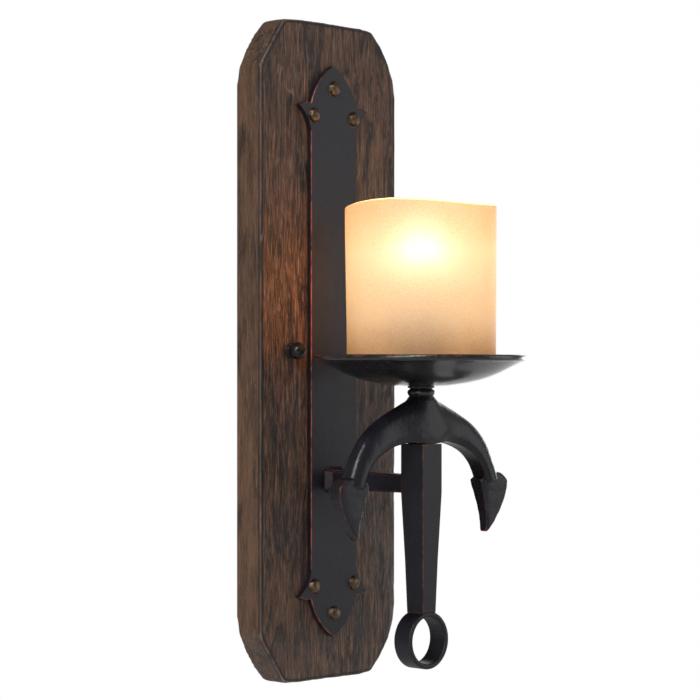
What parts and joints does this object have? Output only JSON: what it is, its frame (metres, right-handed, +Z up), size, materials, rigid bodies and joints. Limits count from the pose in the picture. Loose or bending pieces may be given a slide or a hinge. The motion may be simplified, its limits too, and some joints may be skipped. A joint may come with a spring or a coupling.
{
  "type": "wall sconce",
  "caption": "Wall lamp with a candle-style amber glass shade on a drip dish, carried by an inverted iron anchor with a ring, on a long wooden board.",
  "frame": {"origin": "middle of the backboard's back face, on the wall, level with the two cap nuts and the outlet box", "axes": "+X along the wall to the right, +Y into the wall, +Z up; the lamp stands out towards -Y"},
  "size_m": [0.164, 0.181, 0.45],
  "materials": {
    "weathered_wood": "stained, distressed, waxed",
    "dark_iron": "satin dark bronze-black with edges rubbed to copper brown",
    "antique_brass": "aged, dull sheen",
    "black_steel": "satin black",
    "zinc_steel": "zinc plated",
    "green_steel": "green dyed zinc",
    "amber_glass": "seeded, frosted amber",
    "clear_glass": "clear",
    "bare_brass": "bright",
    "black_plastic": "fine matt",
    "white_porcelain": "unglazed",
    "black_insulator": "opaque black glass",
    "lit_filament": "glowing"
  },
  "bodies": {
    "fixture": {"backboard": "weathered_wood", "strap": "dark_iron", "strap_nails": "antique_brass", "arm_collar": "dark_iron", "arm_bar": "dark_iron", "arm_pipe": "zinc_steel", "arm_washer": "zinc_steel", "arm_nut": "zinc_steel", "anchor_shank": "dark_iron", "ring_eye": "dark_iron", "anchor_crown": "dark_iron", "neck_bead": "dark_iron", "drip_dish": "dark_iron", "dish_nut": "bare_brass", "centre_tube": "bare_brass", "socket_cap": "black_steel", "socket_core": "white_porcelain", "socket_shell": "bare_brass", "socket_contact": "bare_brass", "socket_skirt": "black_plastic", "wall_plate": "zinc_steel", "mounting_studs": "zinc_steel", "stud_nuts": "zinc_steel", "ground_screw": "green_steel"},
    "lamp_shade": {"glass_shade": "amber_glass"},
    "shade_clamp": {"shade_ring": "black_plastic"},
    "lamp_bulb": {"bulb_glass": "clear_glass", "bulb_base": "bare_brass", "bulb_insulator": "black_insulator", "bulb_contact": "zinc_steel", "bulb_stem": "clear_glass", "bulb_filaments": "lit_filament"},
    "left_cap_nut": {"cap_nut_left": "black_steel"},
    "right_cap_nut": {"cap_nut_right": "black_steel"}
  },
  "joints": [
    {"name": "shade_lift", "type": "slide", "parent": "fixture", "child": "lamp_shade", "axis": [0, 0, 1], "range_m": [0, 0.12]},
    {"name": "ring_unscrew", "type": "hinge", "parent": "lamp_shade", "child": "shade_clamp", "pos_m": [0, -0.11, -0.0055], "axis": [0, 0, 1], "range_deg": [0, 1080]},
    {"name": "bulb_unscrew", "type": "hinge", "parent": "fixture", "child": "lamp_bulb", "pos_m": [0, -0.11, 0.012], "axis": [0, 0, 1], "range_deg": [0, 1620]},
    {"name": "left_nut_unscrew", "type": "hinge", "parent": "fixture", "child": "left_cap_nut", "pos_m": [-0.0381, -0.027, 0], "axis": [0, -1, 0], "range_deg": [0, 3600]},
    {"name": "right_nut_unscrew", "type": "hinge", "parent": "fixture", "child": "right_cap_nut", "pos_m": [0.0381, -0.027, 0], "axis": [0, -1, 0], "range_deg": [0, 3600]}
  ]
}
